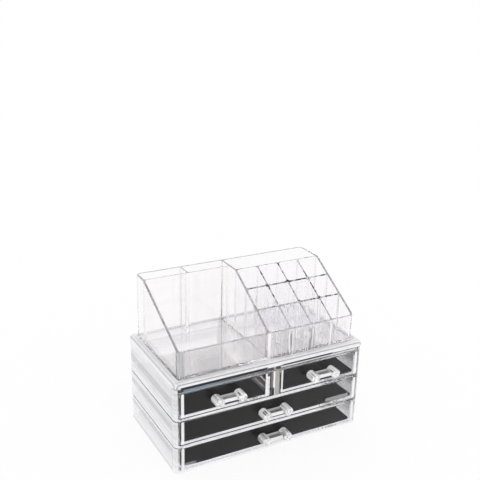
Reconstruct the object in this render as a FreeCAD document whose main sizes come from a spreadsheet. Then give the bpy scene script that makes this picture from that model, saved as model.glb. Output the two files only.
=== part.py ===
import FreeCAD, Part
import math
import os
import re
import Sketcher

# Acrylic makeup organizer: a cabinet of three stacked tiers with four lined drawers,
# a deck on top of it, and a lift-off display tray with sixteen compartments.
# Frame: millimetres, +Z up, the drawers open towards -Y, and the origin is the centre
# of the cabinet's flat underside.

doc = FreeCAD.newDocument("MakeupOrganizer")
sheet = doc.addObject("Spreadsheet::Sheet", "Sizes")

SIZES = {
    # Cabinet as a whole
    "case_width": 240.0,
    "case_depth": 138.0,
    "deck_overhang": 1.0,
    "case_corner": 7.0,
    "side_wall": 5.0,
    "back_wall": 3.0,
    "bay_corner": 3.0,
    "glue_gap": 0.1,
    "overrun": 5.0,
    # Tiers
    "bottom_tier_height": 32.3,
    "middle_tier_height": 32.6,
    "top_tier_height": 38.8,
    "shelf": 3.0,
    "seam_chamfer": 0.6,
    "runner_height": 0.8,
    "runner_width": 3.0,
    "runner_inset": 12.0,
    "rib_setback": 9.0,
    "tip_rib_width": 1.5,
    "tip_rib_height": 1.6,
    "tip_rib_gap": 0.8,
    "front_rail_height": 5.3,
    "front_rail_depth": 4.0,
    # Deck
    "deck_thickness": 5.6,
    "deck_round": 3.6,
    "deck_chamfer": 0.7,
    "rim_width": 6.5,
    "recess_depth": 0.6,
    "recess_corner": 7.0,
    "plug_depth": 1.4,
    "plug_wall": 2.4,
    "plug_clearance": 0.2,
    # Centre divider of the top tier
    "divider_shift": 2.1,
    "divider_width": 12.0,
    "divider_web": 2.6,
    "divider_post_depth": 5.0,
    "divider_round": 0.8,
    # Drawers
    "drawer_side_gap": 0.8,
    "drawer_back_gap": 2.0,
    "drawer_top_gap": 0.8,
    "slide_gap": 0.2,
    "drawer_front_wall": 3.0,
    "drawer_wall": 2.6,
    "drawer_floor": 2.0,
    "drawer_corner": 1.5,
    "drawer_inner_corner": 3.0,
    "drawer_side_drop": 5.0,
    "drawer_chamfer": 0.5,
    # Handles
    "handle_pitch": 27.0,
    "post_radius": 5.4,
    "post_length": 13.0,
    "post_chamfer": 0.7,
    "web_thickness": 4.8,
    "web_start": 1.0,
    "web_end": 10.5,
    "web_chamfer": 0.8,
    # Liners
    "liner_thickness": 1.0,
    "liner_margin": 1.0,
    "liner_corner": 4.0,
    "liner_gap": 0.1,
    # Display tray
    "tray_width": 222.0,
    "tray_depth": 119.0,
    "tray_height": 77.6,
    "tray_setback": 1.5,
    "tray_gap": 0.1,
    "tray_wall": 2.7,
    "tray_floor": 2.2,
    "tray_corner": 6.0,
    "tray_front_height": 31.4,
    "left_ledge": 23.5,
    "right_ledge": 38.3,
    "partition_shift": 2.0,
    "insert_gap": 0.1,
    "insert_wall": 2.0,
    "rack_wall": 1.8,
    "cell_corner": 3.0,
    "cell_overcut": 0.5,
}

# Columns and rows of cells in the lipstick rack
RACK_COLUMNS = 4
RACK_ROWS = 3

for row, (alias, size) in enumerate(SIZES.items(), start=1):
    sheet.set("A%d" % row, alias)
    sheet.set("B%d" % row, str(size))
    sheet.setAlias("B%d" % row, alias)
doc.recompute()


def bind(text):
    """Turn a sum of size names into an expression on the sheet."""
    return re.sub(r"[a-z_]+", lambda word: "Sizes." + word.group(), text)


# Places that several pieces share, as sums of the sizes
TIER_HALF = "(case_width / 2 - deck_overhang)"
TIER_FRONT = "(-case_depth / 2 + deck_overhang)"
TIER_BACK = "(case_depth / 2 - deck_overhang)"
BAY_HALF = "(case_width / 2 - deck_overhang - side_wall)"
BAY_BACK = "(case_depth / 2 - deck_overhang - back_wall)"
BAY_DEPTH = "(case_depth - 2 * deck_overhang - back_wall)"
MIDDLE_BASE = "(bottom_tier_height + glue_gap)"
TOP_BASE = "(bottom_tier_height + middle_tier_height + 2 * glue_gap)"
DECK_BASE = "(bottom_tier_height + middle_tier_height + top_tier_height + 3 * glue_gap)"
DRAWER_LIFT = "(shelf + runner_height + slide_gap)"
TRAY_BASE = "(%s + deck_thickness - recess_depth + tray_gap)" % DECK_BASE
DIVIDER_LEFT = "(divider_shift - divider_width / 2)"
DIVIDER_RIGHT = "(divider_shift + divider_width / 2)"
PARTITION_LEFT = "(-partition_shift - tray_wall / 2)"
PARTITION_RIGHT = "(-partition_shift + tray_wall / 2)"


def new_body(label):
    body = doc.addObject("PartDesign::Body", label)
    body.Label = label
    return body


def place(body, x="0", y="0", z="0"):
    """Bind where a body stands."""
    for axis, text in zip("xyz", (x, y, z)):
        body.setExpression(".Placement.Base." + axis, bind(text))


def new_sketch(body, name, role="XY_Plane", offset="0"):
    """A sketch on one of the body's origin planes, shifted along the plane's normal."""
    plane = next(item for item in body.Origin.OriginFeatures if item.Role == role)
    sketch = body.newObject("Sketcher::SketchObject", body.Label + "_" + name)
    sketch.AttachmentSupport = (plane, [""])
    sketch.MapMode = "FlatFace"
    sketch.setExpression(".AttachmentOffset.Base.z", bind(offset))
    return sketch


def bind_point(sketch, line, end, x, y):
    """Bind one end of a line, or the centre of a circle, to two sums of sizes."""
    for kind, text in (("DistanceX", x), ("DistanceY", y)):
        value = float(sketch.evalExpression(bind(text)))
        index = sketch.addConstraint(Sketcher.Constraint(kind, -1, 1, line, end, value))
        sketch.setExpression("Constraints[%d]" % index, bind(text))


def add_outline(sketch, corners):
    """A closed outline of straight lines through corners given as sums of sizes."""
    places = []
    for x, y in corners:
        across = float(sketch.evalExpression(bind(x)))
        along = float(sketch.evalExpression(bind(y)))
        places.append(FreeCAD.Vector(across, along, 0))
    following = places[1:] + places[:1]
    lines = [Part.LineSegment(start, end) for start, end in zip(places, following)]
    numbers = list(sketch.addGeometry(lines, False))
    for number, after in zip(numbers, numbers[1:] + numbers[:1]):
        sketch.addConstraint(Sketcher.Constraint("Coincident", number, 2, after, 1))
    for number, (x, y) in zip(numbers, corners):
        bind_point(sketch, number, 1, x, y)


def add_box_outline(sketch, left, right, low, high):
    add_outline(sketch, [(left, low), (right, low), (right, high), (left, high)])


def add_circle(sketch, x, y, radius):
    across = float(sketch.evalExpression(bind(x)))
    along = float(sketch.evalExpression(bind(y)))
    size = float(sketch.evalExpression(bind(radius)))
    centre = FreeCAD.Vector(across, along, 0)
    up = FreeCAD.Vector(0, 0, 1)
    number = sketch.addGeometry(Part.Circle(centre, up, size), False)
    bind_point(sketch, number, 3, x, y)
    index = sketch.addConstraint(Sketcher.Constraint("Radius", number, size))
    sketch.setExpression("Constraints[%d]" % index, bind(radius))


def pad(body, sketch, length, reverse=False, both_ways=False):
    feature = body.newObject("PartDesign::Pad", sketch.Label + "_pad")
    feature.Profile = sketch
    feature.Reversed = reverse
    feature.Midplane = both_ways
    feature.setExpression("Length", bind(length))
    doc.recompute()
    return feature


def pocket(body, sketch, length=None, reverse=False):
    """Cut a sketch away, and check that the cut took something."""
    before = body.Shape.Volume
    feature = body.newObject("PartDesign::Pocket", sketch.Label + "_cut")
    feature.Profile = sketch
    feature.Reversed = reverse
    if length is None:
        feature.Type = "ThroughAll"
    else:
        feature.setExpression("Length", bind(length))
    doc.recompute()
    if feature.Shape.Volume >= before:
        raise RuntimeError(feature.Label + " cuts nothing")
    return feature


def soften_edges(body, name, radius, chosen, kind="Fillet"):
    """Fillet or chamfer the edges of a body's last feature that a test picks."""
    base = body.Tip
    edges = enumerate(base.Shape.Edges, start=1)
    names = ["Edge%d" % number for number, edge in edges if chosen(edge)]
    if not names:
        raise RuntimeError(body.Label + " has no edges for " + name)
    feature = body.newObject("PartDesign::" + kind, body.Label + "_" + name)
    feature.Base = (base, names)
    feature.setExpression("Radius" if kind == "Fillet" else "Size", bind(radius))
    doc.recompute()
    return feature


def value(text):
    """The number that a sum of size names comes to."""
    return float(sheet.evalExpression(text))


def near(number, target):
    return math.isclose(number, target, abs_tol=Part.Precision.approximation())


def is_upright(edge):
    """True for a straight edge along Z."""
    return near(edge.BoundBox.XLength + edge.BoundBox.YLength, 0)


def is_level(edge, height):
    """True for an edge that lies in the horizontal plane at a height."""
    return near(edge.BoundBox.ZMin, height) and near(edge.BoundBox.ZMax, height)


def along_rims(feature):
    """A test for the edges that follow the top and bottom outlines of a plain pad."""
    flat = [face for face in feature.Shape.Faces if near(face.BoundBox.ZLength, 0)]
    rims = [face.OuterWire for face in flat]

    def on_rim(edge):
        middle = Part.Vertex(edge.valueAt((edge.FirstParameter + edge.LastParameter) / 2))
        return any(near(middle.distToShape(rim)[0], 0) for rim in rims)

    return on_rim


def add_rounded_outline(sketch, left, right, low, high, radius):
    """A closed rectangle outline with four quarter arcs for corners."""
    places = {}
    for key, text in (("l", left), ("r", right), ("b", low), ("t", high), ("s", radius)):
        places[key] = float(sketch.evalExpression(bind(text)))
    x_low, x_high = places["l"] + places["s"], places["r"] - places["s"]
    y_low, y_high = places["b"] + places["s"], places["t"] - places["s"]
    vector = FreeCAD.Vector
    lines = [
        Part.LineSegment(vector(x_low, places["b"], 0), vector(x_high, places["b"], 0)),
        Part.LineSegment(vector(places["r"], y_low, 0), vector(places["r"], y_high, 0)),
        Part.LineSegment(vector(x_high, places["t"], 0), vector(x_low, places["t"], 0)),
        Part.LineSegment(vector(places["l"], y_high, 0), vector(places["l"], y_low, 0)),
    ]
    centres = [(x_high, y_low), (x_high, y_high), (x_low, y_high), (x_low, y_low)]
    numbers = list(sketch.addGeometry(lines, False))
    arcs = []
    for turn, (x, y) in enumerate(centres):
        circle = Part.Circle(vector(x, y, 0), vector(0, 0, 1), places["s"])
        start = (turn - 1) * math.pi / 2
        arcs.append(sketch.addGeometry(Part.ArcOfCircle(circle, start, start + math.pi / 2), False))
    for turn, arc in enumerate(arcs):
        before, after = numbers[turn], numbers[(turn + 1) % 4]
        sketch.addConstraint(Sketcher.Constraint("Tangent", before, 2, arc, 1))
        sketch.addConstraint(Sketcher.Constraint("Tangent", arc, 2, after, 1))
    for arc in arcs[1:]:
        sketch.addConstraint(Sketcher.Constraint("Equal", arcs[0], arc))
    for number in numbers[0::2]:
        sketch.addConstraint(Sketcher.Constraint("Horizontal", number))
    for number in numbers[1::2]:
        sketch.addConstraint(Sketcher.Constraint("Vertical", number))
    bound = [("DistanceY", numbers[0], low, places["b"]), ("DistanceX", numbers[1], right, places["r"]),
             ("DistanceY", numbers[2], high, places["t"]), ("DistanceX", numbers[3], left, places["l"])]
    for kind, number, text, number_value in bound:
        index = sketch.addConstraint(Sketcher.Constraint(kind, -1, 1, number, 1, number_value))
        sketch.setExpression("Constraints[%d]" % index, bind(text))
    index = sketch.addConstraint(Sketcher.Constraint("Radius", arcs[0], places["s"]))
    sketch.setExpression("Constraints[%d]" % index, bind(radius))


# Cabinet tiers: open-fronted trays that stack, with drawer runners on each shelf and a
# rib along each side wall that keeps a pulled drawer from tipping

def make_tier(label, base, height, drawer_top, runner_places, front_rail=False):
    body = new_body(label)
    place(body, z=base)
    outline = new_sketch(body, "outline")
    add_rounded_outline(outline, "-" + TIER_HALF, TIER_HALF, TIER_FRONT, TIER_BACK, "case_corner")
    block = pad(body, outline, height)
    bay = new_sketch(body, "bay", offset="shelf")
    bay_front = TIER_FRONT + (" + front_rail_depth" if front_rail else " - overrun")
    add_rounded_outline(bay, "-" + BAY_HALF, BAY_HALF, bay_front, BAY_BACK, "bay_corner")
    pocket(body, bay, reverse=True)
    if front_rail:
        opening = new_sketch(body, "opening", "XZ_Plane", "-" + TIER_FRONT)
        under_rail = height + " - front_rail_height"
        add_box_outline(opening, "-" + BAY_HALF, BAY_HALF, "shelf", under_rail)
        pocket(body, opening, "front_rail_depth + bay_corner")
    ribs = new_sketch(body, "ribs", "XZ_Plane", "-%s - rib_setback" % TIER_FRONT)
    for centre in runner_places:
        left = centre + " - runner_width / 2"
        right = centre + " + runner_width / 2"
        add_box_outline(ribs, left, right, "shelf / 2", "shelf + runner_height")
    low = "%s - drawer_side_drop + tip_rib_gap" % drawer_top
    high = low + " + tip_rib_height"
    inner = BAY_HALF + " - tip_rib_width"
    outer = BAY_HALF + " + side_wall / 2"
    add_box_outline(ribs, inner, outer, low, high)
    add_box_outline(ribs, "-(%s)" % outer, "-(%s)" % inner, low, high)
    pad(body, ribs, BAY_DEPTH + " - rib_setback + back_wall / 2", reverse=True)
    soften_edges(body, "seams", "seam_chamfer", along_rims(block), "Chamfer")
    return body


OUTER_RUNNER = "(%s - runner_inset)" % BAY_HALF
OUTER_RUNNERS = ["-" + OUTER_RUNNER, OUTER_RUNNER]
ALL_RUNNERS = OUTER_RUNNERS + [DIVIDER_LEFT + " - runner_inset", DIVIDER_RIGHT + " + runner_inset"]
BOTTOM_DRAWER_TOP = "(bottom_tier_height - drawer_top_gap)"
MIDDLE_DRAWER_TOP = "(middle_tier_height - drawer_top_gap)"
TOP_DRAWER_TOP = "(top_tier_height - front_rail_height - drawer_top_gap)"

make_tier("bottom_tier", "0", "bottom_tier_height", BOTTOM_DRAWER_TOP, OUTER_RUNNERS)
make_tier("middle_tier", MIDDLE_BASE, "middle_tier_height", MIDDLE_DRAWER_TOP, OUTER_RUNNERS)
make_tier("top_tier", TOP_BASE, "top_tier_height", TOP_DRAWER_TOP, ALL_RUNNERS, front_rail=True)


# Deck: a thick lid with rounded edges, a shallow recess that locates the display tray,
# and a ring below that plugs into the top tier, with a bar over the centre divider

def make_deck():
    body = new_body("top_deck")
    place(body, z=DECK_BASE)
    half, front, back = "case_width / 2", "-case_depth / 2", "case_depth / 2"
    outline = new_sketch(body, "outline")
    add_rounded_outline(outline, "-" + half, half, front, back, "(case_corner + deck_overhang)")
    slab = pad(body, outline, "deck_thickness")
    top = value("deck_thickness")
    on_rim = along_rims(slab)
    soften_edges(body, "upper_round", "deck_round", lambda edge: on_rim(edge) and is_level(edge, top))
    soften_edges(body, "lower_edge", "deck_chamfer", lambda edge: is_level(edge, 0), "Chamfer")
    recess = new_sketch(body, "recess", offset="deck_thickness - recess_depth")
    side = "(case_width / 2 - rim_width)"
    end = "(case_depth / 2 - rim_width)"
    add_rounded_outline(recess, "-" + side, side, "-" + end, end, "recess_corner")
    pocket(body, recess, reverse=True)
    plug = new_sketch(body, "plug")
    side = "(%s - plug_clearance)" % BAY_HALF
    front = "(%s + front_rail_depth + plug_clearance)" % TIER_FRONT
    back = "(%s - plug_clearance)" % BAY_BACK
    add_rounded_outline(plug, "-" + side, side, front, back, "bay_corner")
    pad(body, plug, "plug_depth", reverse=True)
    windows = new_sketch(body, "windows")
    far = "(%s - plug_wall)" % side
    low, high = front + " + plug_wall", back + " - plug_wall"
    add_rounded_outline(windows, DIVIDER_RIGHT, far, low, high, "bay_corner")
    add_rounded_outline(windows, "-" + far, DIVIDER_LEFT, low, high, "bay_corner")
    pocket(body, windows, "plug_depth + overrun")
    return body


make_deck()


# Centre divider: a thin web between two thicker posts, notched under the front rail

def make_divider():
    body = new_body("centre_divider")
    place(body, "divider_shift", z=TOP_BASE + " + shelf + glue_gap")
    low_top = "(top_tier_height - front_rail_height - shelf - 2 * glue_gap)"
    top = "(top_tier_height - plug_depth - shelf - glue_gap)"
    notch = "(%s + front_rail_depth + plug_clearance)" % TIER_FRONT
    back = "(%s - glue_gap)" % BAY_BACK
    web = new_sketch(body, "web", "YZ_Plane")
    add_outline(web, [(TIER_FRONT, "0"), (back, "0"), (back, top), (notch, top),
                      (notch, low_top), (TIER_FRONT, low_top)])
    pad(body, web, "divider_web", both_ways=True)
    posts = new_sketch(body, "posts", "YZ_Plane")
    add_box_outline(posts, TIER_FRONT, TIER_FRONT + " + divider_post_depth", "0", low_top)
    add_box_outline(posts, back + " - divider_post_depth", back, "0", top)
    pad(body, posts, "divider_width", both_ways=True)
    half = value("divider_width / 2")
    is_corner = lambda edge: is_upright(edge) and near(abs(edge.BoundBox.XMin), half)
    soften_edges(body, "post_corners", "divider_round", is_corner)
    return body


make_divider()


# Drawers, with the side and back walls lower than the front

DRAWER_DEPTH = "(%s - drawer_back_gap)" % BAY_DEPTH
WIDE_DRAWER = "(2 * %s - 2 * drawer_side_gap)" % BAY_HALF
LEFT_DRAWER = "(%s + %s - 2 * drawer_side_gap)" % (BAY_HALF, DIVIDER_LEFT)
LEFT_CENTRE = "((%s - %s) / 2)" % (DIVIDER_LEFT, BAY_HALF)
RIGHT_DRAWER = "(%s - %s - 2 * drawer_side_gap)" % (BAY_HALF, DIVIDER_RIGHT)
RIGHT_CENTRE = "((%s + %s) / 2)" % (DIVIDER_RIGHT, BAY_HALF)


def make_drawer(label, width, height, x, z):
    body = new_body(label)
    place(body, x, TIER_FRONT, z)
    half = "(%s / 2)" % width
    outline = new_sketch(body, "outline")
    add_rounded_outline(outline, "-" + half, half, "0", DRAWER_DEPTH, "drawer_corner")
    block = pad(body, outline, height)
    hollow = new_sketch(body, "hollow", offset="drawer_floor")
    side = "(%s - drawer_wall)" % half
    back = DRAWER_DEPTH + " - drawer_wall"
    add_rounded_outline(hollow, "-" + side, side, "drawer_front_wall", back, "drawer_inner_corner")
    pocket(body, hollow, reverse=True)
    rim = new_sketch(body, "rim", offset=height + " - drawer_side_drop")
    past = half + " + overrun"
    add_box_outline(rim, "-(%s)" % past, past, "drawer_front_wall", DRAWER_DEPTH + " + overrun")
    pocket(body, rim, reverse=True)
    on_rim = along_rims(block)
    is_upper = lambda edge: on_rim(edge) and not is_level(edge, 0)
    soften_edges(body, "upper_edges", "drawer_chamfer", is_upper, "Chamfer")
    return body


def make_liner(label, width, x, z):
    body = new_body(label)
    place(body, x, TIER_FRONT, z + " + drawer_floor + liner_gap")
    side = "(%s / 2 - drawer_wall - liner_margin)" % width
    back = DRAWER_DEPTH + " - drawer_wall - liner_margin"
    outline = new_sketch(body, "outline")
    front = "drawer_front_wall + liner_margin"
    add_rounded_outline(outline, "-" + side, side, front, back, "liner_corner")
    pad(body, outline, "liner_thickness")
    return body


# Handles: two round posts joined by a flat web, bonded to the drawer front

def make_handle(label, x, z):
    body = new_body(label)
    place(body, x, TIER_FRONT, z)
    web = new_sketch(body, "web", offset="-web_thickness / 2")
    add_box_outline(web, "-handle_pitch / 2", "handle_pitch / 2", "-web_end", "-web_start")
    pad(body, web, "web_thickness")
    front = value("-web_end")
    is_nose = lambda edge: near(edge.BoundBox.YMax, front) and not is_upright(edge)
    soften_edges(body, "web_nose", "web_chamfer", is_nose, "Chamfer")
    posts = new_sketch(body, "posts", "XZ_Plane", "glue_gap")
    for centre in ("-handle_pitch / 2", "handle_pitch / 2"):
        add_circle(posts, centre, "0", "post_radius")
    pad(body, posts, "post_length")
    tip = value("-glue_gap - post_length")
    is_tip = lambda edge: near(edge.BoundBox.YMax, tip)
    soften_edges(body, "post_tips", "post_chamfer", is_tip, "Chamfer")
    return body


def make_drawer_set(name, width, top, base, x="0"):
    """A drawer, its liner and its handle."""
    height = "(%s - %s)" % (top, DRAWER_LIFT)
    floor = "%s + %s" % (base, DRAWER_LIFT)
    make_drawer("drawer_" + name, width, height, x, floor)
    make_liner("liner_" + name, width, x, floor)
    make_handle("handle_" + name, x, floor + " + %s / 2" % height)


make_drawer_set("bottom", WIDE_DRAWER, BOTTOM_DRAWER_TOP, "0")
make_drawer_set("middle", WIDE_DRAWER, MIDDLE_DRAWER_TOP, MIDDLE_BASE)
make_drawer_set("top_left", LEFT_DRAWER, TOP_DRAWER_TOP, TOP_BASE, LEFT_CENTRE)
make_drawer_set("top_right", RIGHT_DRAWER, TOP_DRAWER_TOP, TOP_BASE, RIGHT_CENTRE)


# Display tray: a moulded shell whose walls run level at the back and then slope down to
# the front wall, split by a partition; a slot insert and a lipstick rack stand in it

TRAY_SIDE = "(tray_width / 2 - tray_wall)"
TRAY_END = "(tray_depth / 2 - tray_wall)"
TRAY_FILL = "(tray_height - tray_floor - insert_gap)"
LEFT_BREAK = "(tray_depth / 2 - left_ledge)"
RIGHT_BREAK = "(tray_depth / 2 - right_ledge)"


def cut_slope(body, name, break_point, towards_right, drop="0"):
    """Cut away what stands above the level ledge and the slope in front of it."""
    sketch = new_sketch(body, name, "YZ_Plane", PARTITION_LEFT)
    top = "tray_height - " + drop
    front_top = "tray_front_height - " + drop
    past = "-tray_depth / 2 - overrun"
    add_outline(sketch, [(break_point, top), ("-" + TRAY_END, front_top), (past, front_top),
                         (past, top + " + overrun"), (break_point, top + " + overrun")])
    pocket(body, sketch, reverse=towards_right)


def make_tray_shell():
    body = new_body("tray_shell")
    place(body, y="tray_setback", z=TRAY_BASE)
    half, end = "tray_width / 2", "tray_depth / 2"
    outline = new_sketch(body, "outline")
    add_rounded_outline(outline, "-" + half, half, "-" + end, end, "tray_corner")
    pad(body, outline, "tray_height")
    bays = new_sketch(body, "bays", offset="tray_floor")
    corner = "(tray_corner - tray_wall)"
    add_rounded_outline(bays, "-" + TRAY_SIDE, PARTITION_LEFT, "-" + TRAY_END, TRAY_END, corner)
    add_rounded_outline(bays, PARTITION_RIGHT, TRAY_SIDE, "-" + TRAY_END, TRAY_END, corner)
    pocket(body, bays, reverse=True)
    cut_slope(body, "left_slope", LEFT_BREAK, towards_right=False)
    cut_slope(body, "right_slope", RIGHT_BREAK, towards_right=True)
    return body


def make_insert_block(label, left, right, front, back, corner_side):
    """A block that fills a bay, with the two corners rounded that stand in the bay's own."""
    body = new_body(label)
    place(body, y="tray_setback", z=TRAY_BASE + " + tray_floor + insert_gap")
    block = new_sketch(body, "block")
    add_box_outline(block, left, right, front, back)
    pad(body, block, TRAY_FILL)
    corner_place = value(corner_side)
    is_corner = lambda edge: is_upright(edge) and near(edge.BoundBox.YMin, corner_place)
    soften_edges(body, "bay_corners", "(tray_corner - tray_wall)", is_corner)
    return body


def make_slot_insert():
    """A wall across the left bay and a fin that splits the slot behind it. Their ends and
    the corner between them flare out, as the compartments have rounded corners."""
    left = "(-%s + insert_gap)" % TRAY_SIDE
    right = "(%s - insert_gap)" % PARTITION_LEFT
    front = "(%s - cell_corner)" % LEFT_BREAK
    back = "(%s - insert_gap)" % TRAY_END
    body = make_insert_block("slot_insert", left, right, front, back, back)
    middle = "((%s - %s) / 2)" % (PARTITION_LEFT, TRAY_SIDE)
    outer_left, outer_right = left + " - cell_overcut", right + " + cell_overcut"
    fin_left = middle + " - insert_wall / 2"
    fin_right = middle + " + insert_wall / 2"
    slot_front = LEFT_BREAK + " + insert_wall"
    slot_back = back + " + cell_overcut"
    rooms = new_sketch(body, "rooms")
    bay_front = front + " - overrun"
    add_rounded_outline(rooms, outer_left, outer_right, bay_front, LEFT_BREAK, "cell_corner")
    add_rounded_outline(rooms, outer_left, fin_left, slot_front, slot_back, "cell_corner")
    add_rounded_outline(rooms, fin_right, outer_right, slot_front, slot_back, "cell_corner")
    pocket(body, rooms, TRAY_FILL, reverse=True)
    cut_slope(body, "slope", LEFT_BREAK, towards_right=False, drop="(tray_floor + insert_gap)")
    return body


def make_rack():
    """Crossing walls between rounded cells, cut down along the slope."""
    left = "(%s + insert_gap)" % PARTITION_RIGHT
    right = "(%s - insert_gap)" % TRAY_SIDE
    front = "(-%s + insert_gap)" % TRAY_END
    back = "(%s + rack_wall)" % RIGHT_BREAK
    body = make_insert_block("lipstick_rack", left, right, front, back, front)
    column = "((%s - %s) / %d)" % (TRAY_SIDE, PARTITION_RIGHT, RACK_COLUMNS)
    row = "((%s + %s) / %d)" % (RIGHT_BREAK, TRAY_END, RACK_ROWS)
    fins = ["%s + %s * %d" % (PARTITION_RIGHT, column, number) for number in range(1, RACK_COLUMNS)]
    lefts = [left + " - cell_overcut"] + [fin + " + rack_wall / 2" for fin in fins]
    rights = [fin + " - rack_wall / 2" for fin in fins] + [right + " + cell_overcut"]
    for number in range(RACK_ROWS):
        cells = new_sketch(body, "cells_%d" % (number + 1))
        cell_back = "%s - %s * %d" % (RIGHT_BREAK, row, number)
        cell_front = "%s - %s + rack_wall" % (cell_back, row)
        if number == RACK_ROWS - 1:
            cell_front = front + " - cell_overcut"
        for cell_left, cell_right in zip(lefts, rights):
            add_rounded_outline(cells, cell_left, cell_right, cell_front, cell_back, "cell_corner")
        pocket(body, cells, TRAY_FILL, reverse=True)
    cut_slope(body, "slope", RIGHT_BREAK, towards_right=True, drop="(tray_floor + insert_gap)")
    return body


make_tray_shell()
make_slot_insert()
make_rack()


# Checks before anything is written

doc.recompute()
for item in doc.Objects:
    if "Invalid" in item.State or "Error" in item.State:
        raise RuntimeError("%s failed: %s" % (item.Label, item.State))
bodies = [item for item in doc.Objects if item.TypeId == "PartDesign::Body"]
for body in bodies:
    if body.Shape.isNull() or not body.Shape.isValid():
        raise RuntimeError(body.Label + " has no valid shape")
    if len(body.Shape.Solids) != 1:
        raise RuntimeError("%s has %d solids" % (body.Label, len(body.Shape.Solids)))

os.makedirs("parts", exist_ok=True)
for body in bodies:
    body.Shape.exportStep(os.path.join("parts", body.Label + ".step"))
    box = body.Shape.BoundBox
    print("%-18s %8.1f mm3  X %7.1f %7.1f  Y %7.1f %7.1f  Z %6.1f %6.1f" % (
        body.Label, body.Shape.Volume, box.XMin, box.XMax, box.YMin, box.YMax, box.ZMin, box.ZMax))
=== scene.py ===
"""Looks of a clear acrylic makeup organizer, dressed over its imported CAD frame. Metres."""
import math

import bmesh
import bpy
from mathutils import Matrix, Vector, noise


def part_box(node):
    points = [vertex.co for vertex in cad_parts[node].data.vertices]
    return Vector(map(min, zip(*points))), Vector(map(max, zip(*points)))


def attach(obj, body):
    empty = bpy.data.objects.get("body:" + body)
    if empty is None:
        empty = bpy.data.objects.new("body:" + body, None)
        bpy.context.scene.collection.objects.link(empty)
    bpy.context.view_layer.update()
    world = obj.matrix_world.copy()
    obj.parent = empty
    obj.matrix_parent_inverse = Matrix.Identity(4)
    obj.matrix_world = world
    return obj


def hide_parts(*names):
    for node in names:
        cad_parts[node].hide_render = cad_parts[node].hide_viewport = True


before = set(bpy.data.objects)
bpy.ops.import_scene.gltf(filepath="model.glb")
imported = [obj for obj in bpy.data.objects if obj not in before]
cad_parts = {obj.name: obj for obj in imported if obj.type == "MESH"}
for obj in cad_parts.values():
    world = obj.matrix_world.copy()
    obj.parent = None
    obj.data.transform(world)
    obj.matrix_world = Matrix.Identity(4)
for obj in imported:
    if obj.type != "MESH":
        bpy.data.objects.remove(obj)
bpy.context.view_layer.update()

MM = 0.001


# Camera, fitted to the corners and edges of the cabinet and tray

CAMERA_PLACE = Vector((-0.38428, -0.69478, 0.49969))
CAMERA_YAW = math.radians(28.3787)
CAMERA_DOWN = math.radians(21.0577)
CAMERA_ROLL = math.radians(1.1575)
CLIP_START = 0.01
CLIP_END = 100
SENSOR_MM = 36.0
# In pixels: the frame's side, the focal length, and the row that the lens axis passes through
FRAME_SIDE = 480
FOCAL_PIXELS = 753.87
AXIS_ROW = 270


def make_camera():
    """The camera, turned to the right, then down, then rolled."""
    data = bpy.data.cameras.new("camera")
    data.sensor_width = SENSOR_MM
    data.lens = FOCAL_PIXELS / FRAME_SIDE * SENSOR_MM
    data.shift_y = (AXIS_ROW - FRAME_SIDE / 2) / FRAME_SIDE
    data.clip_start = CLIP_START
    data.clip_end = CLIP_END
    camera = bpy.data.objects.new("camera", data)
    bpy.context.scene.collection.objects.link(camera)
    level = Vector((math.sin(CAMERA_YAW), math.cos(CAMERA_YAW), 0))
    side = Vector((math.cos(CAMERA_YAW), -math.sin(CAMERA_YAW), 0))
    up = Vector((0, 0, 1))
    ahead = level * math.cos(CAMERA_DOWN) - up * math.sin(CAMERA_DOWN)
    above = up * math.cos(CAMERA_DOWN) + level * math.sin(CAMERA_DOWN)
    right = side * math.cos(CAMERA_ROLL) + above * math.sin(CAMERA_ROLL)
    top = above * math.cos(CAMERA_ROLL) - side * math.sin(CAMERA_ROLL)
    turn = Matrix((right, top, -ahead)).transposed()
    camera.matrix_world = Matrix.Translation(CAMERA_PLACE) @ turn.to_4x4()
    bpy.context.scene.camera = camera


# Node materials, with places and widths on the object in millimetres

SOFT_EDGE = 0.4


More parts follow.
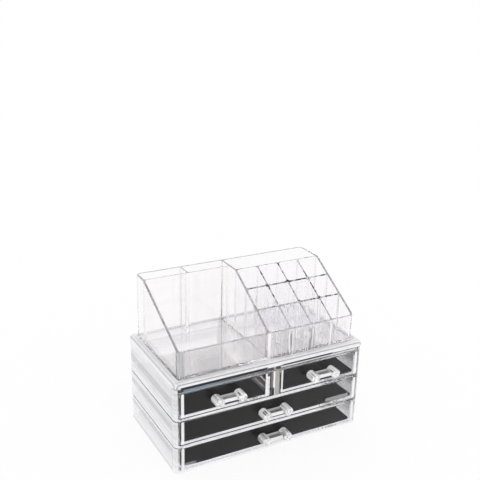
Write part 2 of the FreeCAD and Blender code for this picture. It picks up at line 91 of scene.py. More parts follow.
class Finish:
    """A node material, with short calls for the values that its surface is made from."""

    def __init__(self, name):
        self.material = bpy.data.materials.new(name)
        self.material.use_nodes = True
        self.nodes = self.material.node_tree.nodes
        self.links = self.material.node_tree.links
        self.shader = self.nodes["Principled BSDF"]

    def set(self, **sockets):
        """Set or link the shader's sockets; an underscore stands for a space."""
        for name, value in sockets.items():
            socket = self.shader.inputs[name.replace("_", " ")]
            if isinstance(value, bpy.types.NodeSocket):
                self.links.new(value, socket)
            elif isinstance(value, tuple):
                socket.default_value = (*value, 1)
            else:
                socket.default_value = value

    def math(self, operation, first, second=None):
        """A math node over one or two values, numbers or sockets; the result stays in 0 to 1."""
        node = self.nodes.new("ShaderNodeMath")
        node.operation = operation
        node.use_clamp = True
        for number, value in enumerate((first, second)):
            if isinstance(value, bpy.types.NodeSocket):
                self.links.new(value, node.inputs[number])
            elif value is not None:
                node.inputs[number].default_value = value
        return node.outputs["Value"]

    def fold(self, operation, values):
        """One value from several, by a math operation on each in turn."""
        result = values[0]
        for value in values[1:]:
            result = self.math(operation, result, value)
        return result

    def times(self, *values):
        return self.fold("MULTIPLY", values)

    def plus(self, *values):
        return self.fold("ADD", values)

    def highest(self, *values):
        return self.fold("MAXIMUM", values)

    def minus(self, whole, part):
        return self.math("SUBTRACT", whole, part)

    def inverse(self, value):
        return self.minus(1.0, value)

    def ramp(self, source, low, high, start=0.0, end=1.0):
        """Low below start, high above end, and a straight change between."""
        node = self.nodes.new("ShaderNodeMapRange")
        ends = {"From Min": start, "From Max": end, "To Min": low, "To Max": high}
        for name, value in ends.items():
            node.inputs[name].default_value = value
        self.links.new(source, node.inputs["Value"])
        return node.outputs["Result"]

    def axis(self, letter, kind="Object"):
        """The object's own place, or its normal, along an axis."""
        place = self.nodes.new("ShaderNodeTexCoord")
        split = self.nodes.new("ShaderNodeSeparateXYZ")
        self.links.new(place.outputs[kind], split.inputs["Vector"])
        return split.outputs[letter]

    def facing(self, letter, start=0.4, end=0.8):
        """One on the faces that point along an axis, either way."""
        slope = self.math("ABSOLUTE", self.axis(letter, "Normal"))
        return self.ramp(slope, 0.0, 1.0, start, end)

    def past(self, letter, edge, blur=SOFT_EDGE):
        """One where the place along an axis is more than edge."""
        start, end = (edge - blur / 2) * MM, (edge + blur / 2) * MM
        return self.ramp(self.axis(letter), 0.0, 1.0, start, end)

    def short_of(self, letter, edge, blur=SOFT_EDGE):
        """One where the place along an axis is less than edge."""
        start, end = (edge - blur / 2) * MM, (edge + blur / 2) * MM
        return self.ramp(self.axis(letter), 1.0, 0.0, start, end)

    def within(self, letter, low, high, blur=SOFT_EDGE):
        """One where the place along an axis is between low and high."""
        return self.minus(self.past(letter, low, blur), self.past(letter, high, blur))

    def patch(self, across, up, blur_across=SOFT_EDGE, blur_up=SOFT_EDGE):
        """One in a rectangle, from its two limits along X and its two along Z."""
        return self.times(self.within("X", *across, blur_across), self.within("Z", *up, blur_up))

    def profile(self, letter, steps):
        """Values along an axis, from pairs of a place and a value."""
        node = self.nodes.new("ShaderNodeValToRGB")
        low, high = steps[0][0], steps[-1][0]
        stops = node.color_ramp.elements
        while len(stops) < len(steps):
            stops.new(0.5)
        for stop, (place, value) in zip(stops, steps):
            stop.position = (place - low) / (high - low)
            stop.color = (value, value, value, 1)
        share = self.ramp(self.axis(letter), 0.0, 1.0, low * MM, high * MM)
        self.links.new(share, node.inputs["Fac"])
        return node.outputs["Color"]

    def cloud(self, scale, detail=2.0, roughness=0.5, stretch=(1, 1, 1)):
        """Noise over the object's own coordinates, in cycles per metre."""
        place = self.nodes.new("ShaderNodeTexCoord")
        mapping = self.nodes.new("ShaderNodeMapping")
        mapping.inputs["Scale"].default_value = stretch
        texture = self.nodes.new("ShaderNodeTexNoise")
        texture.inputs["Scale"].default_value = scale
        texture.inputs["Detail"].default_value = detail
        texture.inputs["Roughness"].default_value = roughness
        self.links.new(place.outputs["Object"], mapping.inputs["Vector"])
        self.links.new(mapping.outputs["Vector"], texture.inputs["Vector"])
        return texture.outputs["Fac"]

    def marks(self, values, between=(0.0, 1.0), **noise_settings):
        """A cloud that rises from one value to another, over a range of the noise."""
        return self.ramp(self.cloud(**noise_settings), *values, *between)

    def blend(self, share, first, second):
        """A colour between two, each a colour or a socket."""
        node = self.nodes.new("ShaderNodeMix")
        node.data_type = "RGBA"
        self.links.new(share, node.inputs["Factor"])
        for name, colour in (("A", first), ("B", second)):
            if isinstance(colour, bpy.types.NodeSocket):
                self.links.new(colour, node.inputs[name])
            else:
                node.inputs[name].default_value = (*colour, 1)
        return node.outputs["Result"]

    def bump(self, *layers):
        """Stack bumps, each a height, a strength and a distance in metres."""
        before = None
        for height, strength, distance in layers:
            node = self.nodes.new("ShaderNodeBump")
            node.inputs["Strength"].default_value = strength
            node.inputs["Distance"].default_value = distance
            self.links.new(height, node.inputs["Height"])
            if before:
                self.links.new(before, node.inputs["Normal"])
            before = node.outputs["Normal"]
        self.links.new(before, self.shader.inputs["Normal"])


# Acrylic

ACRYLIC_IOR = 1.49
SHEET_GLOSS = 3.0
COAT_ROUGHNESS = 0.02
FLOW_STRENGTH = 0.15
FLOW_DEPTH = 0.3 * MM
DRAWN_DEPTH = 0.1 * MM
DRAWN_STRETCH = 0.06
# Blur where the skin of a face ends
SKIN_BLUR = 0.2

PALE = (0.988, 0.985, 0.994)
WARM = (0.992, 0.983, 0.986)
PLAIN = (0.99, 0.988, 0.99)
# White painted on the handles as highlight
HANDLE_HIGHLIGHT_WHITE = (0.995, 0.995, 0.995)
# Pale and grey of the reflections and lines painted on the tiers' sides, the deck's rim and the
# tray's front wall
REFLECTION_PALE = (0.985, 0.978, 1.0)
REFLECTION_GREY = (0.26, 0.255, 0.30)
# Grey of the shade painted on the tray's cut edges, front corner and front wall
EDGE_SHADE_GREY = (0.16, 0.155, 0.20)
# Near black of painted shade: the seam's shadow line, the divider's foot and the dots on the rack's
# wall tops
PAINTED_SHADE_BLACK = (0.006, 0.006, 0.008)
# Blue of the reflection line painted on the top tier's rail
RAIL_REFLECTION_BLUE = (0.36, 0.50, 0.64)
# Warm tint of the divider's right part, and the grey of the shade painted at its left
DIVIDER_WARM = (0.78, 0.74, 0.69)
DIVIDER_GREY = (0.55, 0.55, 0.58)


def box_mm(name):
    """A node's lowest and highest corners, in millimetres."""
    low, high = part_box(name)
    return low / MM, high / MM


def start_acrylic(name, gloss=1.0, streaks=0.03, along="Z"):
    """Moulded clear plastic: polished, with slow flow waves, faint drawn streaks and scuffs."""
    finish = Finish(name)
    scuffs = finish.marks(scale=900, detail=6.0, roughness=0.7, values=(0.0, 0.05))
    finish.set(IOR=ACRYLIC_IOR, Specular_Tint=(gloss, gloss, gloss), Roughness=scuffs)
    flow = finish.cloud(scale=25, detail=1.0)
    stretch = [DRAWN_STRETCH if letter == along else 1 for letter in "XYZ"]
    drawn = finish.cloud(scale=160, stretch=stretch)
    finish.bump((flow, FLOW_STRENGTH, FLOW_DEPTH), (drawn, streaks, DRAWN_DEPTH))
    return finish


def add_veil(finish, veil, tint, shade=None):
    """Take clearness away by a tinted veil that paints light and shade, mottled at random, and all
    of it, to painted near black shade, where shade is one.
    """
    veil_mottle = finish.marks(scale=140, detail=8.0, roughness=0.75, values=(0.8, 1.2))
    clear = finish.inverse(finish.times(veil, veil_mottle))
    if shade is not None:
        clear = finish.times(clear, finish.inverse(shade))
        tint = finish.blend(shade, tint, PAINTED_SHADE_BLACK)
    finish.set(Base_Color=tint, Transmission_Weight=clear)


def add_coat(finish, share):
    """The mirror of a polished sheet, where share is one."""
    finish.set(Coat_Weight=share, Coat_IOR=SHEET_GLOSS, Coat_Roughness=COAT_ROUGHNESS)


# Seam between top tier and deck, with a painted shadow line in its groove

SEAM_FRONT = -67.1
SEAM_BLUR = 2
# The two runs of the painted shadow line in its groove: the limits of each across, and up from the
# seam
SEAM_RUNS = (((-113, -9), (-1.4, 2.3)), ((10, 76), (-1.0, 1.4)))


def make_seam_shade(finish, level):
    """One where a near black shadow line is painted in the groove between top tier and deck, over
    the drawer windows.
    """
    runs = []
    for across, (under, over) in SEAM_RUNS:
        runs.append(finish.patch(across, (level + under, level + over), blur_across=SEAM_BLUR))
    return finish.times(finish.short_of("Y", SEAM_FRONT, SKIN_BLUR), finish.plus(*runs))


# Tiers

# Tones of the painted reflection bands on the sides, by height
SIDE_REFLECTION_TONES = (
    (0.0, 0.4), (4.0, 0.4), (5.0, 1.0), (20.0, 1.0), (23.5, 0.45), (27.5, 0.3), (28.4, 1.0),
    (31.0, 1.0), (31.4, 0.5), (33.0, 0.5), (33.6, 1.0), (36.5, 1.0), (48.0, 1.0), (52.0, 0.42),
    (57.0, 0.3), (58.0, 1.0), (63.0, 0.85), (64.3, 0.6), (65.6, 1.0), (71.5, 1.0), (75.0, 0.8),
    (78.0, 1.0), (80.0, 0.42), (88.8, 0.28), (90.0, 1.0), (93.0, 0.8), (100.0, 1.0), (104.0, 1.0),
)
# The front corner of the sides, painted pale, and the grey line painted behind it, along Y
CORNER_END = -59.0
CORNER_LINE = (-59.4, -58.2)
CORNER_LINE_TONE = 0.4
# How far in from a tier's outside its skins go, and the front end of its right wall
SIDE_SKIN = 3.6
FRONT_SKIN = 0.4
WALL_END = 5.4
# Strengths of the white veils painted as reflection on the left and right sides, and on the right
# wall's front end
LEFT_VEIL = 0.66
RIGHT_VEIL = 0.35
WALL_END_VEIL = 0.7
# The front rail's painted blue reflection line, fading to the right, and its painted white
# highlight line; heights are from the seam
RAIL_LINE = (-5.0, -1.4)
RAIL_START = -109
RAIL_FADE_MIDDLE = -47.5
RAIL_FADE = 95
RAIL_VEIL = 0.45
RAIL_WHITE_ACROSS = (8, 108)
RAIL_WHITE_LOW = -2.8
RAIL_WHITE_HIGH = -1.2
RAIL_WHITE_VEIL = 0.8


def add_painted_rail_lines(finish, front, veil, tint, top):
    """The rail's painted blue reflection line at the left and painted white highlight line at the
    right, on a tier's veil and tint.
    """
    blue = finish.times(
        front, finish.within("Z", top + RAIL_LINE[0], top + RAIL_LINE[1]),
        finish.short_of("X", RAIL_FADE_MIDDLE, RAIL_FADE), finish.past("X", RAIL_START),
        finish.facing("Y"),
    )
    white = finish.patch(RAIL_WHITE_ACROSS, (top + RAIL_WHITE_LOW, top + RAIL_WHITE_HIGH))
    white = finish.times(front, white, RAIL_WHITE_VEIL)
    veil = finish.plus(veil, finish.times(blue, RAIL_VEIL), white)
    return veil, finish.blend(blue, tint, RAIL_REFLECTION_BLUE)


def make_tier_finish(name, rail):
    """Tiers: outer sides veiled white as painted reflection, with long painted bands and pale front
    corners; one has painted lines on its rail.
    """
    finish = start_acrylic(name, streaks=0.05)
    low, high = box_mm("bottom_tier")
    lines = finish.marks(
        scale=500, detail=3.0, stretch=(0.02, 0.02, 1), values=(0.78, 1.0), between=(0.42, 0.48),
    )
    # Painted reflection bands and a pale front corner, crossed by painted grey lines, give the
    # veil's colour
    bands = finish.times(finish.profile("Z", SIDE_REFLECTION_TONES), lines)
    corner = finish.times(finish.short_of("Y", CORNER_END), lines)
    line = finish.ramp(finish.within("Y", *CORNER_LINE), 1.0, CORNER_LINE_TONE)
    tone = finish.times(finish.highest(bands, corner), line)
    tint = finish.blend(tone, REFLECTION_GREY, REFLECTION_PALE)
    upright = finish.inverse(finish.facing("Z", start=0.3, end=0.6))
    left = finish.short_of("X", low.x + SIDE_SKIN, SKIN_BLUR)
    right = finish.past("X", high.x - SIDE_SKIN)
    front = finish.short_of("Y", low.y + FRONT_SKIN, SKIN_BLUR)
    sideways = finish.facing("X", start=0.25, end=0.4)
    outer = finish.times(finish.plus(left, right), sideways, upright)
    add_coat(finish, outer)
    strength = finish.plus(finish.times(left, LEFT_VEIL), finish.times(right, RIGHT_VEIL))
    end = finish.times(finish.past("X", high.x - WALL_END), front, WALL_END_VEIL)
    veil = finish.times(finish.highest(finish.times(outer, strength), end), upright)
    shade = None
    if rail:
        top = box_mm("top_tier")[1].z
        veil, tint = add_painted_rail_lines(finish, front, veil, tint, top)
        # Painted near black shadow line in the seam above the rail
        shade = make_seam_shade(finish, top)
    add_veil(finish, veil, tint, shade)
    return finish.material


# Deck

# Tones of the rim's painted reflection lines by place, across and along the deck
RIM_ACROSS = (
    (-120.5, 0.9), (-118.9, 0.9), (-118.7, 0.2), (-117.8, 0.2), (-117.6, 1.0), (-115.4, 1.0),
    (-115.2, 0.5), (-114.4, 0.5), (-114.2, 1.0), (114.2, 1.0), (114.4, 0.5), (115.2, 0.5),
    (115.4, 1.0), (117.6, 1.0), (117.8, 0.2), (118.7, 0.2), (118.9, 0.9), (120.5, 0.9),
)
RIM_ALONG = (
    (-69.5, 0.9), (-68.3, 0.9), (-68.1, 0.1), (-67.2, 0.1), (-67.0, 1.0), (-63.4, 1.0),
    (-63.2, 0.5), (-62.2, 0.5), (-62.0, 1.0), (69.0, 1.0),
)
RIM_FOOT = 0.4
# Strength of the white veil painted on the rim as reflected light
RIM_REFLECTION_VEIL = 0.92


def make_deck_finish():
    """Deck: a rim round the tray painted white as reflected light, with painted reflection lines
    along its edges and a painted shadow line in its seam, clear and glossy inside.
    """
    finish = start_acrylic("deck_acrylic")
    low, high = box_mm("tray_shell")
    base = box_mm("top_tier")[1].z
    beside = finish.inverse(finish.within("X", low.x, high.x))
    before = finish.inverse(finish.within("Y", low.y, high.y))
    rim = finish.times(finish.highest(beside, before), finish.past("Z", base + RIM_FOOT))
    across, along = finish.profile("X", RIM_ACROSS), finish.profile("Y", RIM_ALONG)
    tint = finish.blend(finish.math("MINIMUM", across, along), REFLECTION_GREY, REFLECTION_PALE)
    # Painted near black shadow line in the seam under the deck's front, kept free of the coat
    seam = make_seam_shade(finish, base)
    add_veil(finish, finish.times(rim, RIM_REFLECTION_VEIL), tint, seam)
    level = finish.facing("Z", start=0.8, end=0.95)
    add_coat(finish, finish.minus(finish.highest(level, rim), seam))
    return finish.material


# Centre divider

# Veil by place across it, which paints a white highlight line in its middle
DIVIDER_VEIL = (
    (-4.0, 0.1), (-1.1, 0.1), (-0.8, 0.95), (1.1, 0.95), (1.4, 0.5), (6.3, 0.5), (6.8, 0.1),
    (8.2, 0.1),
)
# Where the painted grey shade ends, and where the warm tint starts
DIVIDER_GREY_END = -0.95
DIVIDER_GREY_BLUR = 0.3
DIVIDER_WARM_START = 1.3
# The painted black shadow at the divider's foot
FOOT_ACROSS = (-2.8, 0.6)
FOOT_TOP = 78
FOOT_BLUR = 2


def make_divider_finish():
    """Divider: painted grey shade at its left with a painted black shadow at its foot, a painted
    white highlight line, and a warm tint at its right.
    """
    finish = start_acrylic("divider_acrylic")
    veil = finish.times(finish.facing("Y"), finish.profile("X", DIVIDER_VEIL))
    warm = finish.blend(finish.past("X", DIVIDER_WARM_START), PALE, DIVIDER_WARM)
    grey = finish.short_of("X", DIVIDER_GREY_END, DIVIDER_GREY_BLUR)
    foot = finish.times(finish.within("X", *FOOT_ACROSS), finish.short_of("Z", FOOT_TOP, FOOT_BLUR))
    add_veil(finish, veil, finish.blend(grey, warm, DIVIDER_GREY), foot)
    return finish.material


# Drawers

DRAWER_GLOSS = 0.27
DRAWER_SKIN = 0.3
# Strength of the pale highlight painted on the drawers' front ends
DRAWER_END_HIGHLIGHT = 0.9
# Where each drawer's pale ends, painted highlights, begin and stop, in from its left and its right
# side
DRAWER_ENDS = {
    "drawer_bottom": ((1.2, 4.4), (1.2, 4.4)), "drawer_middle": ((1.2, 4.4), (1.2, 4.4)),
    "drawer_top_left": ((1.2, 4.4), (3.6, 6.0)), "drawer_top_right": ((0.2, 2.6), (1.2, 4.4)),
}
# Faint light patches painted on two fronts: the limits of each across and up, and its strength
DRAWER_GLINTS = {
    "drawer_middle": ((71, 103), (41.0, 45.4), 0.33),
    "drawer_bottom": ((-108, -95), (9.0, 12.6), 0.22),
}
GLINT_BLUR = 1.2


def make_drawer_finish(name):
    """Drawers: clear, with pale highlights painted on the upright ends of the front, and a faint
    painted light patch on two of them.
    """
    finish = start_acrylic(name + "_acrylic", gloss=DRAWER_GLOSS, streaks=0.02)
    low, high = box_mm(name)
    left, right = DRAWER_ENDS[name]
    left_end = finish.within("X", low.x + left[0], low.x + left[1])
    right_end = finish.within("X", high.x - right[1], high.x - right[0])
    veil = finish.times(finish.plus(left_end, right_end), DRAWER_END_HIGHLIGHT)
    if name in DRAWER_GLINTS:
        across, up, strength = DRAWER_GLINTS[name]
        glint = finish.times(finish.patch(across, up, GLINT_BLUR, GLINT_BLUR), strength)
        veil = finish.highest(veil, glint)
    front = finish.short_of("Y", low.y + DRAWER_SKIN, SKIN_BLUR)
    add_veil(finish, finish.times(veil, front, finish.facing("Y")), PLAIN)
    return finish.material


# Handles

# Half width of the bar, strength of the highlight painted on its edges, and depth of the back line
# painted along its top
BAR_HALF = 7.9
BAR_HIGHLIGHT_VEIL = 0.9
BACK_LINE = 2.6


def make_handle_finish(name):
    """Handles: posts painted pale with fine painted lines along them, and a clear bar with painted
    pale highlight edges.
    """
    finish = start_acrylic(name + "_acrylic", streaks=0.12, along="Y")
    low, high = box_mm(name)
    centre = (low.x + high.x) / 2
    bar = finish.within("X", centre - BAR_HALF, centre + BAR_HALF)
    posts = finish.inverse(bar)
    front = finish.facing("Y")
    lines = finish.marks(
        scale=520, detail=1.0, stretch=(1, 0.02, 1), values=(0.05, 0.98), between=(0.42, 0.50),
    )
    streaks = finish.marks(
        scale=600, detail=1.0, stretch=(0.02, 1, 1), values=(0.0, 0.2), between=(0.48, 0.55),
    )
    back_line = finish.times(finish.facing("Z"), finish.past("Y", high.y - BACK_LINE))
    edges = finish.highest(front, back_line, streaks)
    veil = finish.plus(finish.times(posts, lines), finish.times(bar, edges, BAR_HIGHLIGHT_VEIL))
    add_veil(finish, veil, HANDLE_HIGHLIGHT_WHITE)
    add_coat(finish, finish.times(posts, front))
    return finish.material


# Tray, slot insert and lipstick rack

# How strongly painted reflection streaks cover the tray's front wall, most of it before the ends of
# the rack's walls
RACK_STREAKS = (
    (0.0, 0.3), (21.0, 0.3), (23.0, 1.0), (29.5, 1.0), (31.5, 0.3), (48.0, 0.3), (50.0, 1.0),
    (56.0, 1.0), (58.0, 0.3), (75.0, 0.3), (77.0, 0.9), (82.5, 0.9), (84.5, 0.2), (100.0, 0.2),
)
STREAKS_ACROSS = (1, 100)
STREAKS_TOP = 136
STREAKS_BLUR = 4
WALL_SKIN = -57.5
# The soft grey patch painted on the front wall before the wide bay, a painted reflection of the
# dark liner
BAY_PATCH_ACROSS = (-90, -60)
BAY_PATCH_UP = (90, 132)
BAY_PATCH_BLUR_ACROSS = 9
BAY_PATCH_BLUR_UP = 14
BAY_PATCH_STRENGTH = 0.36
# The white highlight bar painted on the front wall, before the partition
BAR_ACROSS = (-3.7, 0.1)
BAR_TOP = 143
BAR_STRENGTH = 0.9
# The front left corner with painted reflection streaks, and how far above its floor the tray's
# painted cut edge lines start
CORNER_RIGHT = -103
CORNER_BACK = -53
WALL_BLUR = 2
CUT_EDGES = 6


def make_wall_reflections(finish):
    """Painted reflections on the tray's front wall: a grey patch and dark streaks, and a white
    highlight bar and pale streaks.
    """
    skin = finish.times(finish.short_of("Y", WALL_SKIN, SKIN_BLUR), finish.facing("Y"))
    patch = finish.patch(
        BAY_PATCH_ACROSS, BAY_PATCH_UP, BAY_PATCH_BLUR_ACROSS, BAY_PATCH_BLUR_UP,
    )
    patch = finish.times(patch, skin, BAY_PATCH_STRENGTH)
    before_rack = finish.times(
        finish.within("X", *STREAKS_ACROSS), skin, finish.profile("X", RACK_STREAKS),
        finish.short_of("Z", STREAKS_TOP, STREAKS_BLUR),
    )
    dark = finish.marks(
        scale=300, stretch=(1, 1, 0.1), values=(0.0, 0.8), between=(0.50, 0.55),
    )
    pale = finish.marks(
        scale=260, detail=1.0, stretch=(1, 1, 0.03), values=(0.0, 0.95), between=(0.54, 0.57),
    )
    bar = finish.times(finish.within("X", *BAR_ACROSS), finish.short_of("Z", BAR_TOP, WALL_BLUR))
    bar = finish.times(bar, skin, BAR_STRENGTH)
    grey = finish.highest(patch, finish.times(before_rack, dark))
    return grey, finish.highest(bar, finish.times(before_rack, pale))


def make_tray_finish(name, streaks, cut_edge_shade):
    """Tray and its inserts: glossy level faces, grey shade lines painted on the cut edges, and
    painted reflection streaks on the front corner.
    """
    finish = start_acrylic(name, streaks=streaks)
    level = finish.facing("Z", start=0.6, end=0.8)
    floor = box_mm("slot_insert")[0].z
    tops = finish.times(level, finish.past("Z", floor + CUT_EDGES))
    edges = finish.times(
        tops, finish.marks(scale=380, detail=3.0, values=(0.35, 1.0), between=(0.44, 0.54)),
    )
    lines = finish.marks(
        scale=500, stretch=(1, 1, 0.03), values=(0.0, 0.5), between=(0.42, 0.58),
    )
    upright = finish.times(
        lines, finish.short_of("X", CORNER_RIGHT, WALL_BLUR),
        finish.short_of("Y", CORNER_BACK, WALL_BLUR), finish.inverse(level),
    )
    clear, gloss, spots, spot_tint = WARM, level, None, None
    if name == "tray_acrylic":
        grey, spots = make_wall_reflections(finish)
        upright = finish.highest(upright, grey)
        spot_tint = REFLECTION_PALE
    elif name == "rack_acrylic":
        clear = PALE
        # Near black dots painted as shade on the rack's wall tops
        dots = finish.marks(scale=240, detail=0.0, values=(0.0, 1.0), between=(0.58, 0.62))
        spots = finish.times(tops, dots)
        gloss = finish.minus(level, spots)
        spot_tint = PAINTED_SHADE_BLACK
    veil = finish.plus(finish.times(edges, cut_edge_shade), upright)
    tint = finish.blend(finish.plus(edges, upright), clear, EDGE_SHADE_GREY)
    if spots is not None:
        veil = finish.highest(veil, spots)
        tint = finish.blend(spots, tint, spot_tint)
    add_veil(finish, veil, tint)
    add_coat(finish, gloss)
    return finish.material


# Liners: thin dark mesh pads that lie loose on the drawer floors

WEAVE_SCALE = 260
WEAVE_DISTORTION = 0.6
WEAVE_STRENGTH = 0.5
WEAVE_DEPTH = 0.2 * MM
WEAVE_DARK = (0.012, 0.011, 0.0115)
WEAVE_LIGHT = (0.020, 0.018, 0.019)


def make_liner_fabric():
    """A fine open weave with slight changes of tone."""
    finish = Finish("liner_weave")
    waves = []
    for direction in ("X", "Y"):
        place = finish.nodes.new("ShaderNodeTexCoord")
        wave = finish.nodes.new("ShaderNodeTexWave")
        wave.bands_direction = direction
        wave.inputs["Scale"].default_value = WEAVE_SCALE
        wave.inputs["Distortion"].default_value = WEAVE_DISTORTION
        finish.links.new(place.outputs["Object"], wave.inputs["Vector"])
        waves.append(wave.outputs["Fac"])
    weave = finish.times(*waves)
    share = finish.times(weave, finish.cloud(scale=18, detail=3.0))
    tone = finish.blend(share, WEAVE_DARK, WEAVE_LIGHT)
    finish.set(Base_Color=tone, Roughness=0.9, Specular_IOR_Level=0.2, Sheen_Weight=0.1)
    finish.bump((weave, WEAVE_STRENGTH, WEAVE_DEPTH))
    return finish.material


LINER_CORNER = 4 * MM
LINER_STEP = 6 * MM
LINER_THICKNESS = 0.9 * MM
# Grid lines in the rounded corners, as shares of their radius
ARC_LINES = (0.0, 0.2, 0.45, 0.72, 1.0)
WAVE_HEIGHT = 0.5 * MM
WAVES_ACROSS = 28
WAVES_ALONG = 34
WAVES_UP = 90
CURL_REACH = 26 * MM
# The corner of each pad that curls up, by its side along X and Y, and its height in millimetres
LINER_CURLS = {
    "bottom": (-1, -1, 1.6), "middle": (1, -1, 1.2),
    "top_left": (1, 1, 0.8), "top_right": (-1, 1, 0.6),
}


def grid_lines(low, high):
    """Places of the grid lines, close together in the rounded corners."""
    inner_low, inner_high = low + LINER_CORNER, high - LINER_CORNER
    count = round((inner_high - inner_low) / LINER_STEP)
    start = [low + LINER_CORNER * share for share in ARC_LINES]
    middle = [inner_low + (inner_high - inner_low) * k / count for k in range(1, count)]
    end = [high - LINER_CORNER * share for share in reversed(ARC_LINES)]
    return start + middle + end


def round_corner(x, y, low, high):
    """Pull a point of the rectangle's corner squares onto the rounded outline."""
    centre_x = min(max(x, low.x + LINER_CORNER), high.x - LINER_CORNER)
    centre_y = min(max(y, low.y + LINER_CORNER), high.y - LINER_CORNER)
    across, along = (x - centre_x) / LINER_CORNER, (y - centre_y) / LINER_CORNER
    x = centre_x + LINER_CORNER * across * math.sqrt(1 - along * along / 2)
    y = centre_y + LINER_CORNER * along * math.sqrt(1 - across * across / 2)
    return x, y


def make_pad_points(mesh, low, high, curl):
    """Two grids of points, under and over the pad, each a list of lines from front to back."""
    curl_x, curl_y, rise = curl
    corner = Vector((low.x if curl_x < 0 else high.x, low.y if curl_y < 0 else high.y))
    columns, rows = grid_lines(low.x, high.x), grid_lines(low.y, high.y)
    layers = []
    for layer in (0, 1):
        grid = []
        for x in columns:
            line = []
            for y in rows:
                near_x, near_y = round_corner(x, y, low, high)
                spot = Vector((x * WAVES_ACROSS, y * WAVES_ALONG, low.z * WAVES_UP))
                wave = 0.5 + 0.5 * noise.noise(spot)
                away = (Vector((x, y)) - corner).length / CURL_REACH
                height = WAVE_HEIGHT * wave + rise * MM * max(0.0, 1 - away) ** 2
                place = (near_x, near_y, low.z + height + layer * LINER_THICKNESS)
                line.append(mesh.verts.new(place))
            grid.append(line)
        layers.append(grid)
    return layers


def join_pad_faces(mesh, under, over):
    """Close the two grids into one thin solid with smooth faces."""
    last_x, last_y = len(over) - 1, len(over[0]) - 1
    for i in range(last_x):
        for j in range(last_y):
            mesh.faces.new((over[i][j], over[i + 1][j], over[i + 1][j + 1], over[i][j + 1]))
            mesh.faces.new((under[i][j], under[i][j + 1], under[i + 1][j + 1], under[i + 1][j]))
    for i in range(last_x):
        mesh.faces.new((under[i][0], under[i + 1][0], over[i + 1][0], over[i][0]))
        mesh.faces.new((over[i][-1], over[i + 1][-1], under[i + 1][-1], under[i][-1]))
    for j in range(last_y):
        mesh.faces.new((over[0][j], over[0][j + 1], under[0][j + 1], under[0][j]))
        mesh.faces.new((under[-1][j], under[-1][j + 1], over[-1][j + 1], over[-1][j]))
    for face in mesh.faces:
        face.smooth = True


def make_liner(name, body, finish, curl):
    """A loose pad: slow waves, and one corner that curls up."""
    low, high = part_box(name)
    mesh = bmesh.new()
    under, over = make_pad_points(mesh, low, high, curl)
    join_pad_faces(mesh, under, over)
    data = bpy.data.meshes.new("pad_" + name)
    mesh.to_mesh(data)
    mesh.free()
    pad = bpy.data.objects.new("pad_" + name, data)
    bpy.context.scene.collection.objects.link(pad)
    pad.data.materials.append(finish)
    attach(pad, body)
    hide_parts(name)


def lay_liners():
    """One pad in each drawer."""
    fabric = make_liner_fabric()
    for name, curl in LINER_CURLS.items():
        make_liner("liner_" + name, "drawer_%s_unit" % name, fabric, curl)


# Finishes of the CAD nodes, and their softened edges

WELD_DISTANCE = 0.002 * MM
SHARP_ANGLE = math.radians(32)
ROUND_SEGMENTS = 2
NORMAL_WEIGHT = 100
# Widths of the rounds on the edges, the first one for all nodes that the table leaves out
EDGE_ROUND = 0.3 * MM
THIN_ROUNDS = {"tray_shell": 0.25 * MM, "slot_insert": 0.2 * MM, "lipstick_rack": 0.15 * MM}


def make_edge_prep():
    """Node group that welds a node's faces together and smooths them."""
    group = bpy.data.node_groups.new("weld_and_smooth", "GeometryNodeTree")
    for direction in ("INPUT", "OUTPUT"):
        group.interface.new_socket(
            "Geometry", in_out=direction, socket_type="NodeSocketGeometry",
        )
    source = group.nodes.new("NodeGroupInput")
    merge = group.nodes.new("GeometryNodeMergeByDistance")
    merge.inputs["Distance"].default_value = WELD_DISTANCE
    smooth = group.nodes.new("GeometryNodeSetShadeSmooth")
    result = group.nodes.new("NodeGroupOutput")
    group.links.new(source.outputs[0], merge.inputs["Geometry"])
    group.links.new(merge.outputs["Geometry"], smooth.inputs["Geometry"])
    group.links.new(smooth.outputs["Geometry"], result.inputs[0])
    return group


def soften(node, group, width):
    """Round a node's sharp edges a little."""
    prep = node.modifiers.new("weld", "NODES")
    prep.node_group = group
    bevel = node.modifiers.new("edge_round", "BEVEL")
    bevel.width = width
    bevel.segments = ROUND_SEGMENTS
    bevel.limit_method = "ANGLE"
    bevel.angle_limit = SHARP_ANGLE
    bevel.use_clamp_overlap = False
    normals = node.modifiers.new("normals", "WEIGHTED_NORMAL")
    normals.mode = "FACE_AREA"
    normals.weight = NORMAL_WEIGHT


def dress_nodes():
    """Give every CAD node its finish and its rounded edges, apart from the liners."""
    tiers = make_tier_finish("tier_acrylic", rail=False)
    finishes = {
        "bottom_tier": tiers,
        "middle_tier": tiers,
        "top_tier": make_tier_finish("top_tier_acrylic", rail=True),
        "top_deck": make_deck_finish(),
        "centre_divider": make_divider_finish(),
        "tray_shell": make_tray_finish("tray_acrylic", streaks=0.12, cut_edge_shade=0.8),
        "slot_insert": make_tray_finish("slot_acrylic", streaks=0.12, cut_edge_shade=0.5),
        "lipstick_rack": make_tray_finish("rack_acrylic", streaks=3.0, cut_edge_shade=0.6),
    }
    group = make_edge_prep()
    for name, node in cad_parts.items():
        if name.startswith("liner_"):
            continue
        if name.startswith("drawer_"):
            finish = make_drawer_finish(name)
        elif name.startswith("handle_"):
            finish = make_handle_finish(name)
        else:
            finish = finishes[name]
        for place in node.material_slots:
            place.material = finish
        soften(node, group, THIN_ROUNDS.get(name, EDGE_ROUND))


# Stage

PAPER = (0.98, 0.98, 0.98)
PAPER_GLOW = 0.9
FLOOR_SIDE = 40
ZENITH_TONE = 0.8
# The backdrop darkens between these heights of a direction, where 0 is level and 1 is overhead
FADE_START = 0.45
FADE_END = 0.95


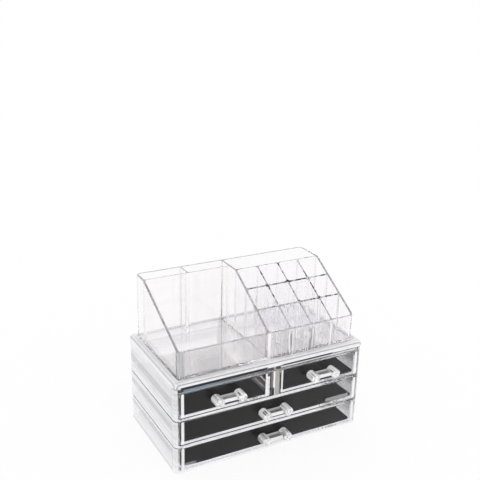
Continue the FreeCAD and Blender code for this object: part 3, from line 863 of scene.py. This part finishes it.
def seen_directly(nodes, links):
    """One for what the camera sees, also in gloss and through clear pieces."""
    path = nodes.new("ShaderNodeLightPath")
    seen = path.outputs["Is Camera Ray"]
    for kind in ("Is Glossy Ray", "Is Transmission Ray"):
        either = nodes.new("ShaderNodeMath")
        either.operation = "MAXIMUM"
        links.new(seen, either.inputs[0])
        links.new(path.outputs[kind], either.inputs[1])
        seen = either.outputs["Value"]
    return seen


def make_floor():
    """White paper that keeps a soft shadow of the object."""
    bpy.ops.mesh.primitive_plane_add(size=FLOOR_SIDE, location=(0, 0, 0))
    floor = bpy.context.object
    floor.name = "floor"
    finish = Finish("floor_paper")
    finish.set(Base_Color=PAPER, Roughness=1.0, Specular_IOR_Level=0.0)
    nodes, links = finish.nodes, finish.links
    white = nodes.new("ShaderNodeEmission")
    mix = nodes.new("ShaderNodeMixShader")
    links.new(finish.ramp(seen_directly(nodes, links), 0.0, PAPER_GLOW), mix.inputs["Fac"])
    links.new(finish.shader.outputs["BSDF"], mix.inputs[1])
    links.new(white.outputs["Emission"], mix.inputs[2])
    links.new(mix.outputs["Shader"], nodes["Material Output"].inputs["Surface"])
    floor.data.materials.append(finish.material)


def make_world():
    """Even white studio light; what is seen of the studio is darker overhead."""
    world = bpy.data.worlds.new("studio")
    bpy.context.scene.world = world
    world.use_nodes = True
    nodes, links = world.node_tree.nodes, world.node_tree.links
    backdrop = nodes["Background"]
    place = nodes.new("ShaderNodeTexCoord")
    split = nodes.new("ShaderNodeSeparateXYZ")
    fade = nodes.new("ShaderNodeMapRange")
    fade.interpolation_type = "SMOOTHSTEP"
    ends = {"From Min": FADE_START, "From Max": FADE_END, "To Min": 1.0, "To Max": ZENITH_TONE}
    for name, value in ends.items():
        fade.inputs[name].default_value = value
    links.new(place.outputs["Generated"], split.inputs["Vector"])
    links.new(split.outputs["Z"], fade.inputs["Value"])
    tone = nodes.new("ShaderNodeMix")
    tone.data_type = "RGBA"
    tone.inputs["A"].default_value = (1, 1, 1, 1)
    links.new(seen_directly(nodes, links), tone.inputs["Factor"])
    links.new(fade.outputs["Result"], tone.inputs["B"])
    links.new(tone.outputs["Result"], backdrop.inputs["Color"])
    backdrop.inputs["Strength"].default_value = 1.0


CLEAR_BOUNCES = 96
TRANSPARENT_BOUNCES = 40


def set_render():
    """Plain colours, and enough bounces for light that runs along inside the clear walls."""
    bpy.context.scene.view_settings.view_transform = "Standard"
    cycles = bpy.context.scene.cycles
    cycles.max_bounces = CLEAR_BOUNCES
    cycles.transmission_bounces = CLEAR_BOUNCES
    cycles.glossy_bounces = CLEAR_BOUNCES
    cycles.transparent_max_bounces = TRANSPARENT_BOUNCES


make_camera()
make_world()
make_floor()
dress_nodes()
lay_liners()
set_render()
